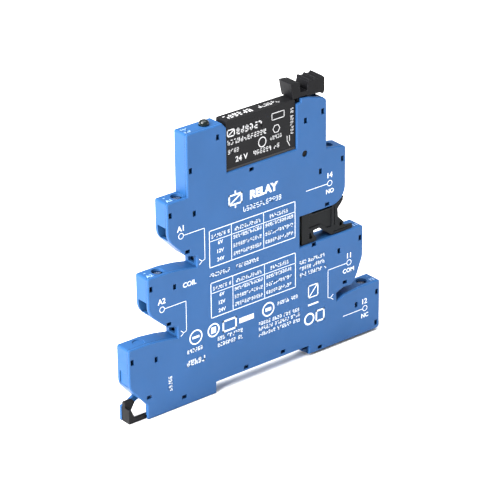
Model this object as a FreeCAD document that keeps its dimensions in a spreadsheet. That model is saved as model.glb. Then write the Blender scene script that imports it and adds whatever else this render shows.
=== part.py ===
import FreeCAD, Part
import math
import os
import re
import Sketcher

# Plug-in interface relay: a 6.2 mm wide screw-terminal socket for a 35 mm rail, its slim relay,
# the retaining lever, the rail latch and the bridging plug of the fuse bay.
# Frame: X along the rail's width, Y along the rail (the module's thickness), Z away from the rail.
# Origin: the rail's centre line on the seating plane, at mid thickness.  Millimetres.

DRIVING_SIZES = {
    # module and walls
    "half_width": 3.1, "side_wall": 1.0, "edge_round": 0.3,
    # rail notch and foot
    "notch_left": -21.2, "notch_right": 18.0, "foot_bottom": -4.0, "base_bottom": -3.1,
    "hook_tip": 15.8, "hook_gap": 1.1, "foot_left": -49.3,
    # stepped ends: outer face and top of each terminal block
    "end_left3": -56.1, "end_left2": -47.9, "end_left1": -39.7, "end_lamp": -31.6,
    "top_left3": 23.0, "top_left2": 45.4, "top_left1": 68.8, "top_lamp": 89.9,
    "end_right3": 48.9, "end_right2": 41.2, "end_right1": 33.5, "end_tower": 25.3,
    "top_right3": 14.9, "top_right2": 37.4, "top_right1": 68.2,
    # relay window and fuse bay
    "window_left": -15.8, "window_right": 12.7, "window_floor": 72.7,
    "bay_left": 14.0, "bay_top": 48.4,
    # terminals
    "screw_inset": 6.1, "screw_inset_right": 5.6, "screw_hole_radius": 2.0,
    "screw_head_radius": 1.85, "screw_head_height": 1.4, "screw_head_depth": 1.05,
    "screw_shank_radius": 1.25, "thread_clearance": 0.05, "shelf_thickness": 0.75,
    "entry_low": 13.4, "entry_high": 8.6,
    "cage_depth": 13.8, "cage_length": 4.6, "cage_half_width": 1.9, "cage_height": 7.6,
    "cage_wall": 0.55, "cage_floor": 0.8, "cage_ceiling": 5.2,
    "bar_level": 4.1, "bar_thickness": 0.8, "bar_front": 1.3, "bar_back": 0.95,
    # lamp
    "lamp_x": -22.3, "lens_radius": 1.7,
    # lever
    "pivot_x": 16.1, "pivot_z": 70.2, "pivot_radius": 1.1, "pivot_hole_radius": 1.15,
    # relay
    "relay_left": -15.55, "relay_bottom": 72.7, "relay_length": 28.0, "relay_height": 17.2,
    "relay_half_width": 2.5, "case_wall": 0.45, "base_flange": 0.8, "base_height": 2.2,
    "core_level": 7.8, "card_level": 12.2, "pin_thickness": 0.4, "pin_length": 3.5,
    "pin_coil1": 2.0, "pin_coil2": 7.0, "pin_closed": 15.9, "pin_common": 19.9, "pin_open": 23.9,
    # socket contacts
    "clip_bottom": 66.8, "clip_top": 71.5, "clip_leaf": 0.35,
    # circuit board
    "board_front": 1.0, "board_back": 1.8,
}

TERMINALS = {
    "a1": ("end_left1", "top_left1", 1),
    "a2": ("end_left2", "top_left2", 1),
    "14": ("end_right1", "top_right1", -1),
    "11": ("end_right2", "top_right2", -1),
    "12": ("end_right3", "top_right3", -1),
}

# snap joints between the two half shells: centre of each square hole; the second list lies flat
SNAPS_UPRIGHT = [(-19.3, 85.8), (-30.2, 77.4), (-38.5, 64.5), (-29.0, 62.5), (16.4, 81.6), (23.6, 82.9),
                 (22.7, 62.1), (32.0, 64.0), (-46.7, 41.6), (-37.4, 39.6), (-54.8, 18.5), (-45.4, 16.5),
                 (47.3, -0.8), (47.5, 10.7), (38.5, 8.7), (30.7, 31.1), (39.9, 33.1)]
SNAPS_FLAT = [(-5.9, 71.1), (25.6, 49.6), (-32.0, 50.2), (-40.0, 27.3), (-48.5, 4.0), (-34.5, -0.7),
              (-8.9, 1.4), (6.7, 1.8), (22.6, -1.8), (33.4, 18.8), (20.0, 36.7)]
SNAP_SHORT = 1.3
SNAP_LONG = 2.0

doc = FreeCAD.newDocument("plug_in_relay")
sheet = doc.addObject("Spreadsheet::Sheet", "Sheet")
for row, (alias, size) in enumerate(DRIVING_SIZES.items(), start=1):
    sheet.set(f"A{row}", alias)
    sheet.set(f"B{row}", str(size))
    sheet.setAlias(f"B{row}", alias)
doc.recompute()

nodes = []


# ---------------------------------------------------------------- modelling helpers
def bound(text):
    """Expression text in which every driving size points at its spreadsheet cell."""
    return re.sub(r"[a-z_][a-z0-9_]*",
                  lambda word: "Sheet." + word[0] if word[0] in DRIVING_SIZES else word[0], str(text))


def new_body(label, x="0", y="0", z="0"):
    body = doc.addObject("PartDesign::Body", label)
    body.Label = label
    for axis, text in zip("xyz", (x, y, z)):
        body.setExpression(".Placement.Base." + axis, bound(text))
    nodes.append(body)
    return body


def new_sketch(body, name, plane, level):
    sketch = body.newObject("Sketcher::SketchObject", name)
    origin_plane = [item for item in body.Origin.OriginFeatures if item.Role == plane][0]
    sketch.AttachmentSupport = [(origin_plane, "")]
    sketch.MapMode = "FlatFace"
    sketch.setExpression(".AttachmentOffset.Base.z", bound(level))
    return sketch


def add_bound(sketch, rules):
    """Add constraints in one go and bind those that carry an expression."""
    first = sketch.ConstraintCount
    sketch.addConstraint([Sketcher.Constraint(*rule) for rule, text in rules])
    for index, (rule, text) in enumerate(rules, start=first):
        if text is not None:
            sketch.setExpression(f"Constraints[{index}]", bound(text))


def draw_polygon(sketch, corners):
    """Closed outline through corners given as pairs of expressions."""
    first = sketch.GeometryCount
    count = len(corners)
    turn = 2 * math.pi / count
    spots = [FreeCAD.Vector(9 * math.cos(k * turn), 9 * math.sin(k * turn), 0) for k in range(count)]
    sketch.addGeometry([Part.LineSegment(spots[k], spots[(k + 1) % count]) for k in range(count)], False)
    rules = [(("Coincident", first + k, 2, first + (k + 1) % count, 1), None) for k in range(count)]
    for k, corner in enumerate(corners):
        rules.append((("DistanceX", -1, 1, first + k, 1, 1.0), corner[0]))
        rules.append((("DistanceY", -1, 1, first + k, 1, 1.0), corner[1]))
    add_bound(sketch, rules)


def draw_circle(sketch, centre, radius):
    index = sketch.addGeometry(Part.Circle(FreeCAD.Vector(1, 1, 0), FreeCAD.Vector(0, 0, 1), 1), False)
    add_bound(sketch, [(("DistanceX", -1, 1, index, 3, 1.0), centre[0]),
                       (("DistanceY", -1, 1, index, 3, 1.0), centre[1]),
                       (("Radius", index, 1.0), radius)])


def extrude(body, sketch, kind, length):
    feature = body.newObject("PartDesign::" + kind, sketch.Name + "_" + kind.lower())
    feature.Profile = sketch
    feature.setExpression("Length", bound(length))
    before = 0.0 if body.Shape.isNull() else body.Shape.Volume
    doc.recompute()
    changed = body.Shape.Volume - before
    if (changed > 0) != (kind == "Pad") or abs(changed) < 1e-6:
        raise ValueError(f"{body.Label}: {feature.Name} changes nothing")
    return feature


def round_corners(body, feature, corners):
    """Fillet the edges along Y that stand on the corners which carry a radius."""
    sketch = feature.Profile[0]
    radii = sorted({corner[2] for corner in corners if len(corner) > 2})
    for radius in radii:
        names = []
        for k, corner in enumerate(corners):
            if len(corner) < 3 or corner[2] != radius:
                continue
            spot = sketch.Geometry[k].StartPoint
            for number, edge in enumerate(body.Tip.Shape.Edges, start=1):
                ends = [edge.Vertexes[0].Point, edge.Vertexes[-1].Point]
                near = all(math.hypot(end.x - spot.x, end.z - spot.y) < 1e-4 for end in ends)
                if near and abs(ends[0].y - ends[1].y) > 1e-3:
                    names.append(f"Edge{number}")
        rounded = body.Tip
        fillet = body.newObject("PartDesign::Fillet", f"{sketch.Name}_round")
        fillet.Base = (rounded, names)
        fillet.setExpression("Radius", bound(radius))
        doc.recompute()


def slab(body, name, corners, low, high, kind="Pad"):
    """Profile in the XZ plane, solid (Pad) or cut (Pocket) between Y = low and Y = high."""
    level = f"-({high})" if kind == "Pad" else f"-({low})"
    sketch = new_sketch(body, name, "XZ_Plane", level)
    draw_polygon(sketch, corners)
    feature = extrude(body, sketch, kind, f"({high}) - ({low})")
    if any(len(corner) > 2 for corner in corners):
        round_corners(body, feature, corners)
    return feature


def slab_disc_x(body, name, centre, radius, low, high):
    """Round boss along X; the centre is given as Y and Z."""
    sketch = new_sketch(body, name, "YZ_Plane", low)
    draw_circle(sketch, centre, radius)
    return extrude(body, sketch, "Pad", f"({high}) - ({low})")


def many(body, name, shapes, low, high, kind):
    """Many small shapes, a few to a sketch so that each sketch stays quick to solve."""
    level = f"-({high})" if kind == "Pad" else f"-({low})"
    for first in range(0, len(shapes), 5):
        sketch = new_sketch(body, f"{name}_{first}", "XZ_Plane", level)
        for shape in shapes[first:first + 5]:
            draw_polygon(sketch, shape)
        extrude(body, sketch, kind, f"({high}) - ({low})")


def slab_disc(body, name, centre, radius, low, high, kind="Pad"):
    level = f"-({high})" if kind == "Pad" else f"-({low})"
    sketch = new_sketch(body, name, "XZ_Plane", level)
    draw_circle(sketch, centre, radius)
    return extrude(body, sketch, kind, f"({high}) - ({low})")


def upright_disc(body, name, centre, radius, low, high, kind="Pad"):
    """Round feature along Z between Z = low and Z = high."""
    sketch = new_sketch(body, name, "XY_Plane", low if kind == "Pad" else high)
    draw_circle(sketch, centre, radius)
    return extrude(body, sketch, kind, f"({high}) - ({low})")


def upright_box(body, name, x_low, x_high, y_low, y_high, low, high, kind="Pad"):
    sketch = new_sketch(body, name, "XY_Plane", low if kind == "Pad" else high)
    draw_polygon(sketch, [(x_low, y_low), (x_high, y_low), (x_high, y_high), (x_low, y_high)])
    return extrude(body, sketch, kind, f"({high}) - ({low})")


def box_corners(x_low, x_high, z_low, z_high):
    return [(x_low, z_low), (x_high, z_low), (x_high, z_high), (x_low, z_high)]


def turned(body, name, corners):
    """Solid of revolution about the body's own Z axis; corners are radius and height."""
    sketch = new_sketch(body, name, "XZ_Plane", "0")
    draw_polygon(sketch, corners)
    feature = body.newObject("PartDesign::Revolution", name + "_turned")
    feature.Profile = sketch
    feature.ReferenceAxis = (sketch, ["V_Axis"])
    feature.Angle = 360
    doc.recompute()
    return feature


INNER_LOW = "-half_width + side_wall"
INNER_HIGH = "half_width - side_wall"


# ---------------------------------------------------------------- the socket's two half shells
def shell_outline():
    """Stepped side view of the housing, anticlockwise from the foot's lower left corner."""
    corners = [
        ("foot_left", "foot_bottom", "0.6"), ("notch_left", "foot_bottom", "0.4"),
        ("notch_left", "0"), ("notch_right", "0"), ("notch_right", "base_bottom"),
        ("end_right3", "base_bottom", "1.3"), ("end_right3", "top_right3", "0.8"),
        # jumper slot between the two lower right blocks
        ("end_right3 - 9.6", "top_right3"), ("end_right3 - 15.6", "top_right3 - 0.7"),
        ("end_right3 - 18.9", "top_right3 - 2.0"), ("end_right3 - 19.1", "top_right3 + 0.9"),
        ("end_right3 - 15.9", "top_right3 + 2.1"), ("end_right3 - 12.4", "top_right3 + 1.9"),
        ("end_right2 - 2.6", "top_right3 + 4.6"),
        ("end_right2", "top_right2 - 11.4", "4.5"), ("end_right2", "top_right2", "0.8"),
        ("bay_left", "top_right2"), ("bay_left", "bay_top"),
        ("end_right1", "bay_top", "5.8"), ("end_right1", "top_right1", "1.2"),
        ("end_tower", "top_right1 + 1.5"),
        ("end_tower", "top_lamp - 3.4", "1.0"), ("end_tower - 1.4", "top_lamp - 2.2"),
        ("end_tower - 4.6", "top_lamp - 1.3"), ("end_tower - 7.8", "top_lamp - 0.4"),
        ("window_right + 1.8", "top_lamp", "0.3"), ("window_right + 1.8", "top_lamp - 1.4"),
        ("window_right", "top_lamp - 1.8"),
        ("window_right", "window_floor"), ("window_left", "window_floor"),
        ("window_left", "top_lamp - 1.9"), ("window_left - 1.7", "top_lamp"),
        ("end_lamp", "top_lamp", "0.6"), ("end_lamp", "top_left1"), ("end_left1", "top_left1", "0.6"),
    ]
    # each left block ends below in a rounded slant; the next block's top falls into a jumper slot
    steps = [("end_left1", "top_left1", "end_left2", "top_left2"),
             ("end_left2", "top_left2", "end_left3", "top_left3")]
    for end, top, next_end, next_top in steps:
        corners += [
            (end, f"{top} - 12.4", "6"), (f"{end} + 7.5", f"{next_top} + 3.1"),
            (f"{next_end} + 19.5", f"{next_top} + 2.2"), (f"{next_end} + 19.5", f"{next_top} - 1.7"),
            (f"{next_end} + 14.6", f"{next_top} - 0.7"), (f"{next_end} + 8.5", next_top, "4"),
            (next_end, next_top, "0.6"),
        ]
    corners += [("end_left3", "9.2", "5"), ("foot_left", "1.4", "0.8")]
    return corners


def snap_shapes(width_share):
    """Square snap holes, or the posts that fill a share of each."""
    shapes = []
    for (x, z), (wide, tall) in ([(spot, (SNAP_SHORT, SNAP_LONG)) for spot in SNAPS_UPRIGHT]
                                 + [(spot, (SNAP_LONG, SNAP_SHORT)) for spot in SNAPS_FLAT]):
        half, rise = wide / 2, tall / 2
        shapes.append(box_corners(x - half, x - half + wide * width_share, z - rise, z + rise))
    return shapes


def make_side_cover():
    body = new_body("side_cover")
    slab(body, "cover_plate", shell_outline(), "-half_width", INNER_LOW)
    face = [f"Face{k}" for k, face in enumerate(body.Shape.Faces, start=1)
            if abs(face.CenterOfMass.y + DRIVING_SIZES["half_width"]) < 1e-4]
    edging = body.newObject("PartDesign::Chamfer", "cover_edge")
    edging.Base = (body.Group[-2], face)
    edging.setExpression("Size", bound("edge_round"))
    doc.recompute()
    many(body, "snap_holes", snap_shapes(1.0), "-half_width", INNER_LOW, "Pocket")
    slab_disc(body, "pivot_hole", ("pivot_x", "pivot_z"), "pivot_hole_radius", "-half_width", INNER_LOW, "Pocket")
    slab(body, "latch_groove", box_corners("foot_left - 1", "notch_left + 1", "-3.2", "-2.4"),
         "-half_width + 0.5", INNER_LOW, "Pocket")
    return body


def cavity_outline():
    """Inside of the housing: the outline moved in by the wall."""
    corners = [
        ("foot_left + 1", "foot_bottom + 1"), ("notch_left - 1", "foot_bottom + 1"),
        ("notch_left - 1", "1"), ("notch_right + 1", "1"), ("notch_right + 1", "base_bottom + 1"),
        ("end_right3 - 1", "base_bottom + 1"), ("end_right3 - 1", "top_right3 - 1"),
        ("end_right3 - 9.7", "top_right3 - 1"), ("end_right3 - 15.8", "top_right3 - 1.7"),
        ("end_right3 - 20", "top_right3 - 2.9"), ("end_right3 - 20.1", "top_right3 + 1.5"),
        ("end_right3 - 16.2", "top_right3 + 3.1"), ("end_right3 - 13", "top_right3 + 2.9"),
        ("end_right2 - 3.6", "top_right3 + 4.8"),
        ("end_right2 - 1", "top_right2 - 11.2"), ("end_right2 - 1", "top_right2 - 1"),
        ("bay_left - 1", "top_right2 - 1"), ("bay_left - 1", "bay_top + 1"),
        ("end_right1 - 5.8", "bay_top + 1"), ("end_right1 - 2.4", "bay_top + 2.4"),
        ("end_right1 - 1", "bay_top + 5.8"), ("end_right1 - 1", "top_right1 - 0.9"),
        ("end_tower - 1", "top_right1 + 0.6"), ("end_tower - 1", "top_lamp - 3.9"),
        ("end_tower - 4.9", "top_lamp - 2.3"), ("end_tower - 8", "top_lamp - 1.4"),
        ("window_right + 1", "top_lamp - 2.6"), ("window_right + 1", "window_floor - 1"),
        ("window_left - 1", "window_floor - 1"), ("window_left - 1", "top_lamp - 2.3"),
        ("window_left - 2.2", "top_lamp - 1"), ("end_lamp + 1", "top_lamp - 1"),
        ("end_lamp + 1", "top_left1 - 1"), ("end_left1 + 1", "top_left1 - 1"),
    ]
    steps = [("end_left1", "top_left1", "end_left2", "top_left2"),
             ("end_left2", "top_left2", "end_left3", "top_left3")]
    for end, top, next_end, next_top in steps:
        corners += [
            (f"{end} + 1", f"{top} - 12"), (f"{end} + 8", f"{next_top} + 4"),
            (f"{next_end} + 20.5", f"{next_top} + 3"), (f"{next_end} + 20.5", f"{next_top} - 2.9"),
            (f"{next_end} + 14.5", f"{next_top} - 1.7"), (f"{next_end} + 8.5", f"{next_top} - 1"),
            (f"{next_end} + 1", f"{next_top} - 1"),
        ]
    return corners + [("end_left3 + 1", "9.6"), ("foot_left + 1", "1.8")]


def across(body, name, corners, kind="Pad"):
    """Profile that fills, or is cut from, the whole space between the two side walls."""
    return slab(body, name, corners, INNER_LOW, INNER_HIGH, kind)


def screw_x(terminal):
    """Left screws sit screw_inset from their block's end; right ones a little nearer, clear of the block above."""
    end, top, inward = TERMINALS[terminal]
    return f"{end} + screw_inset" if inward > 0 else f"{end} - screw_inset_right"


def outer_to_inner(terminal, near, far, low, high):
    """Box between two distances from a terminal block's outer face, heights below its top."""
    end, top, inward = TERMINALS[terminal]
    x_low, x_high = (near, far) if inward > 0 else (f"-({far})", f"-({near})")
    return box_corners(f"{end} + {x_low}", f"{end} + {x_high}", f"{top} - ({low})", f"{top} - ({high})")


def make_rear_shell():
    body = new_body("rear_shell")
    slab(body, "tray", shell_outline(), INNER_LOW, "half_width")
    across(body, "hollow", cavity_outline(), "Pocket")
    # fixed hook that takes the rail's right edge
    slab(body, "rail_hook", [("notch_right + 0.6", "base_bottom"), ("hook_tip + 2.6", "base_bottom"),
                             ("hook_tip", "-hook_gap - 0.6"), ("hook_tip", "-hook_gap"),
                             ("notch_right - 0.3", "-hook_gap"), ("notch_right - 0.3", "0.3"),
                             ("notch_right + 0.6", "0.3")], INNER_LOW, "half_width")
    # window in the far wall behind the latch's tab, and the slim finger lug that frames it
    slab(body, "latch_window", [("foot_left - 1", "foot_bottom - 0.6"), ("foot_left + 3.7", "foot_bottom - 0.6"),
                                ("foot_left + 3.7", "-1.4"), ("foot_left + 1.8", "0.4"),
                                ("foot_left + 0.3", "1.5"), ("foot_left - 1", "1.5")],
         INNER_HIGH, "half_width", "Pocket")
    slab(body, "latch_lug", [("end_left3 + 0.2", "-3.9"), ("end_left3 + 1.5", "-3.9"),
                             ("end_left3 + 2.2", "0.2"), ("foot_left - 2.3", "0.4"),
                             ("foot_left + 0.5", "1.9"), ("foot_left - 0.9", "3.8"),
                             ("foot_left - 4.2", "1.9"), ("end_left3 + 0.2", "1.2")], INNER_HIGH, "half_width")
    # channel of the rail latch: open below, at the left and into the rail notch
    across(body, "latch_way", [("end_left3", "foot_bottom - 1"), ("notch_left + 1", "foot_bottom - 1"),
                               ("notch_left + 1", "-1.2"), ("notch_left - 1.5", "-1.2"),
                               ("notch_left - 1.5", "-1.7"), ("foot_left + 3", "-1.7"),
                               ("foot_left + 3", "4"), ("end_left3", "4")], "Pocket")
    across(body, "latch_roof", box_corners("foot_left + 3.6", "notch_left - 0.5", "-1.7", "-0.9"))
    slab(body, "latch_groove", box_corners("foot_left - 1", "notch_left + 1", "-3.2", "-2.4"),
         INNER_HIGH, "half_width - 0.5", "Pocket")
    # wire entries, the cages' stops and the shelves that carry the screws' heads
    shelf_top = "screw_head_depth + screw_head_height + 0.05"
    entries = [outer_to_inner(name, "-1", "3", "entry_low", "entry_high") for name in TERMINALS]
    stops = [outer_to_inner(name, "3.4", "8.8", "cage_depth + 0.9", "cage_depth + 0.05") for name in TERMINALS]
    shelves = [outer_to_inner(name, "3.6", "8.6", f"{shelf_top} + shelf_thickness", shelf_top)
               for name in TERMINALS]
    many(body, "entry", entries, INNER_LOW, INNER_HIGH, "Pocket")
    many(body, "stop", stops, INNER_LOW, INNER_HIGH, "Pad")
    many(body, "shelf", shelves, INNER_LOW, INNER_HIGH, "Pad")
    for name in TERMINALS:
        top = TERMINALS[name][1]
        upright_disc(body, "shank_hole_" + name, (screw_x(name), "0"), "screw_shank_radius + 0.15",
                     f"{top} - 4.2", f"{top} - ({shelf_top}) + 0.1", "Pocket")
        upright_disc(body, "access_hole_" + name, (screw_x(name), "0"), "screw_hole_radius",
                     f"{top} - ({shelf_top})", f"{top} + 3", "Pocket")
    # third left block: its entry is left for the blanking piece
    across(body, "entry_blank", box_corners("end_left3 - 1", "end_left3 + 3", "top_left3 - entry_low",
                                            "top_left3 - entry_high"), "Pocket")
    upright_disc(body, "blank_screw_seat", ("end_left3 + screw_inset", "0"), "screw_hole_radius - 0.05",
                 "top_left3 - 0.3", "top_left3 + 1", "Pocket")
    # lamp hole
    upright_disc(body, "lamp_hole", ("lamp_x", "0"), "lens_radius + 0.1", "top_lamp - 2", "top_lamp + 1", "Pocket")
    # lever: slot in the tower's top, way for its toe under the relay, axle hole
    across(body, "lever_slot", [("window_right + 1.1", "top_lamp - 3.4"), ("end_tower - 1.1", "top_lamp - 5"),
                                ("end_tower - 1.1", "top_lamp + 1"), ("window_right + 1.1", "top_lamp + 1")],
           "Pocket")
    across(body, "toe_way", box_corners("window_right - 4.3", "window_right + 1.1", "window_floor - 4",
                                        "window_floor + 1.6"), "Pocket")
    slab_disc(body, "pivot_hole", ("pivot_x", "pivot_z"), "pivot_hole_radius", INNER_HIGH, "half_width", "Pocket")
    # slots in the relay's seat, one for each pin
    pins = ("pin_coil1", "pin_coil2", "pin_closed", "pin_common", "pin_open")
    many(body, "pin_slot", [box_corners(f"relay_left + {pin} - 0.45", f"relay_left + {pin} + 0.45",
                                        "window_floor - 1.2", "window_floor + 0.2") for pin in pins],
         "-0.8", "0.8", "Pocket")
    # slots for the fuse bay's two blades
    blades = [f"(top_right2 + bay_top) / 2 + {level}" for level in ("-3.4", "3.4")]
    many(body, "blade_slot", [box_corners("bay_left - 1.5", "bay_left + 0.5", f"{blade} - 0.5", f"{blade} + 0.5")
                              for blade in blades], "-1.4", "1.4", "Pocket")
    # jumper slots lead through the stepped walls
    many(body, "jumper_way", [
        box_corners("end_left2 + 19", "end_left2 + 21", "top_left2 - 0.9", "top_left2 + 1.4"),
        box_corners("end_left3 + 19", "end_left3 + 21", "top_left3 - 0.9", "top_left3 + 1.4"),
        box_corners("end_right3 - 20.5", "end_right3 - 18.5", "top_right3 - 1.6", "top_right3 + 0.6")],
         "-1.5", "1.5", "Pocket")
    # stiffening ribs
    many(body, "rib", [
        box_corners("window_left + 13.4", "window_left + 14.2", "20", "window_floor - 1"),
        box_corners("window_left - 7", "window_left - 6.2", "8", "32"),
        box_corners("window_left + 4", "window_left + 4.8", "8", "46"),
        box_corners("window_right - 2", "window_right - 1.2", "8", "22")], INNER_LOW, INNER_HIGH, "Pad")
    many(body, "snap_posts", snap_shapes(0.28), "-half_width + 0.45", INNER_HIGH, "Pad")
    return body


def make_terminal_blank():
    body = new_body("terminal_blank")
    low, high = "top_left3 - entry_low + 0.05", "top_left3 - entry_high - 0.05"
    slab(body, "plug", box_corners("end_left3 + 0.35", "end_left3 + 2.6", low, high), "-2.05", "2.05")
    slab(body, "rim", box_corners("end_left3 + 1.1", "end_left3 + 1.9", f"{low} + 1", f"{high} + 0.6"),
         "-2.05", "2.05")
    return body


# ---------------------------------------------------------------- screw terminals
def make_terminal_screw(name):
    body = new_body("terminal_screw_" + name, x=screw_x(name), z=TERMINALS[name][1])
    head_top = "-screw_head_depth"
    head_low = "-screw_head_depth - screw_head_height"
    tip = "-cage_depth + bar_level + bar_thickness + 0.05"
    turned(body, "screw", [("0", tip), ("screw_shank_radius - 0.35", tip),
                           ("screw_shank_radius", f"{tip} + 0.35"), ("screw_shank_radius", head_low),
                           ("screw_head_radius", head_low), ("screw_head_radius", f"{head_top} - 0.2"),
                           ("screw_head_radius - 0.2", head_top), ("0", head_top)])
    upright_box(body, "slot", "-3", "3", "-0.3", "0.3", f"{head_top} - 0.8", f"{head_top} + 0.5", "Pocket")
    upright_box(body, "cross", "-0.3", "0.3", "-1.2", "1.2", f"{head_top} - 0.7", f"{head_top} + 0.5", "Pocket")
    return body


def make_clamp_cage(name):
    body = new_body("clamp_cage_" + name, x=screw_x(name), z=f"{TERMINALS[name][1]} - cage_depth")
    upright_box(body, "block", "-cage_length / 2", "cage_length / 2", "-cage_half_width", "cage_half_width",
                "0", "cage_height")
    slab(body, "mouth", box_corners("-cage_length", "cage_length", "cage_floor", "cage_ceiling"),
         "-cage_half_width + cage_wall", "cage_half_width - cage_wall", "Pocket")
    upright_disc(body, "thread", ("0", "0"), "screw_shank_radius + thread_clearance", "cage_ceiling - 0.1",
                 "cage_height + 0.1", "Pocket")
    return body


# ---------------------------------------------------------------- current paths
def bar_height(name):
    return f"{TERMINALS[name][1]} - cage_depth + bar_level"


def make_bus_bar(name, corners):
    body = new_body("bus_bar_" + name)
    slab(body, "strip", corners, "-bar_front", "bar_back")
    return body


def make_bus_bars():
    level = bar_height("a1")
    make_bus_bar("a1", [(f"{screw_x('a1')} - 1.9", level), ("end_left1 + 12.8", level),
                        ("end_left1 + 12.8", "54"), ("end_left1 + 13.6", "54"),
                        ("end_left1 + 13.6", f"{level} + bar_thickness"),
                        (f"{screw_x('a1')} - 1.9", f"{level} + bar_thickness")])
    level = bar_height("a2")
    make_bus_bar("a2", [(f"{screw_x('a2')} - 1.9", level), ("end_left2 + 13.9", level),
                        ("end_left2 + 13.9", "40.4"), ("end_left2 + 25.9", "40.4"),
                        ("end_left2 + 25.9", "56"), ("end_left2 + 25.1", "56"),
                        ("end_left2 + 25.1", "41.2"), ("end_left2 + 13.1", "41.2"),
                        ("end_left2 + 13.1", f"{level} + bar_thickness"),
                        (f"{screw_x('a2')} - 1.9", f"{level} + bar_thickness")])
    level = bar_height("14")
    pin = "relay_left + pin_open"
    make_bus_bar("14", [(f"{screw_x('14')} + 1.9", level), (f"{screw_x('14')} + 1.9", f"{level} + bar_thickness"),
                        (f"{pin} + 0.4", f"{level} + bar_thickness"), (f"{pin} + 0.4", "clip_bottom"),
                        (f"{pin} - 0.4", "clip_bottom"), (f"{pin} - 0.4", level)])
    level = bar_height("11")
    fuse = "(top_right2 + bay_top) / 2 - 3.4"
    make_bus_bar("11", [(f"{screw_x('11')} + 1.9", level), (f"{screw_x('11')} + 1.9", f"{level} + bar_thickness"),
                        ("bay_left - 3", f"{level} + bar_thickness"), ("bay_left - 3", f"{fuse} - 0.75"),
                        ("bay_left - 3.8", f"{fuse} - 0.75"), ("bay_left - 3.8", level)])
    level = bar_height("12")
    pin = "relay_left + pin_closed"
    make_bus_bar("12", [(f"{screw_x('12')} + 1.9", level), (f"{screw_x('12')} + 1.9", f"{level} + bar_thickness"),
                        (f"{pin} + 0.4", f"{level} + bar_thickness"), (f"{pin} + 0.4", "clip_bottom"),
                        (f"{pin} - 0.4", "clip_bottom"), (f"{pin} - 0.4", level)])


def make_socket_clip(label, pin):
    """Fork that grips one relay pin; the pin slides between its two leaves."""
    body = new_body(label, x=f"relay_left + {pin}")
    inner = "(pin_thickness / 2 + 0.03)"
    slab(body, "fork", [(f"-{inner} - clip_leaf", "clip_bottom"), (f"{inner} + clip_leaf", "clip_bottom"),
                        (f"{inner} + clip_leaf", "clip_top"), (inner, "clip_top"),
                        (inner, "clip_bottom + 0.7"), (f"-{inner}", "clip_bottom + 0.7"),
                        (f"-{inner}", "clip_top"), (f"-{inner} - clip_leaf", "clip_top")], "-1.1", "1.1")
    return body


def make_fuse_clips():
    for label, level in (("fuse_clip_lower", "-3.4"), ("fuse_clip_upper", "3.4")):
        middle = f"(top_right2 + bay_top) / 2 + {level}"
        body = new_body(label)
        slab(body, "fork", [("bay_left - 4.6", f"{middle} - 0.75"), ("bay_left - 1.2", f"{middle} - 0.75"),
                            ("bay_left - 1.2", f"{middle} - 0.35"), ("bay_left - 3.9", f"{middle} - 0.35"),
                            ("bay_left - 3.9", f"{middle} + 0.35"), ("bay_left - 1.2", f"{middle} + 0.35"),
                            ("bay_left - 1.2", f"{middle} + 0.75"), ("bay_left - 4.6", f"{middle} + 0.75")],
             "-1.2", "1.2")
        if level == "3.4":
            pin = "relay_left + pin_common"
            slab(body, "lead", [("bay_left - 4.6", f"{middle} - 0.4"), ("bay_left - 4.6", f"{middle} + 0.4"),
                                (f"{pin} + 0.4", f"{middle} + 0.4"), (f"{pin} + 0.4", "clip_bottom"),
                                (f"{pin} - 0.4", "clip_bottom"), (f"{pin} - 0.4", f"{middle} - 0.4")],
                 "-1.2", "bar_back")


def make_jumper_forks():
    """Contacts behind the three jumper slots, identical pieces in one node."""
    spots = [("end_left2 + 21.2", "top_left2", 1), ("end_left3 + 21.2", "top_left3", 1),
             ("end_right3 - 20.7", "top_right3 - 0.7", -1)]
    group = []
    for number, (x, z, way) in enumerate(spots):
        fork = doc.addObject("PartDesign::Body", f"jumper_fork_{number}")
        slab(fork, f"fork_{number}", [
            (x, f"{z} - 0.6"), (f"{x} + {way * 2.6}", f"{z} - 0.6"), (f"{x} + {way * 2.6}", f"{z} + 0.2"),
            (f"{x} + {way * 2.6}", f"{z} + 1"), (x, f"{z} + 1"), (x, f"{z} + 0.6"),
            (f"{x} + {way * 2}", f"{z} + 0.6"), (f"{x} + {way * 2}", f"{z} - 0.2"), (x, f"{z} - 0.2")],
            "-1.2", "1.2")
        group.append(fork)
    joined = doc.addObject("Part::Compound", "jumper_forks")
    joined.Links = group
    joined.Label = "jumper_forks"
    nodes.append(joined)


# ---------------------------------------------------------------- coil circuit
def make_circuit_board():
    body = new_body("circuit_board")
    slab(body, "laminate", [("end_left1 + 11.8", "52"), ("window_left + 8.2", "52"),
                            ("window_left + 8.2", "66.4"), ("window_left - 1.3", "66.4"),
                            ("window_left - 1.3", "84"), ("end_left1 + 11.8", "84")],
         "board_front", "board_back")
    for x, z in (("window_left - 10.6", "80.5"), ("window_left + 6.2", "54")):
        slab_disc(body, "hole", (x, z), "0.6", "board_front", "board_back", "Pocket")
    return body


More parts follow.
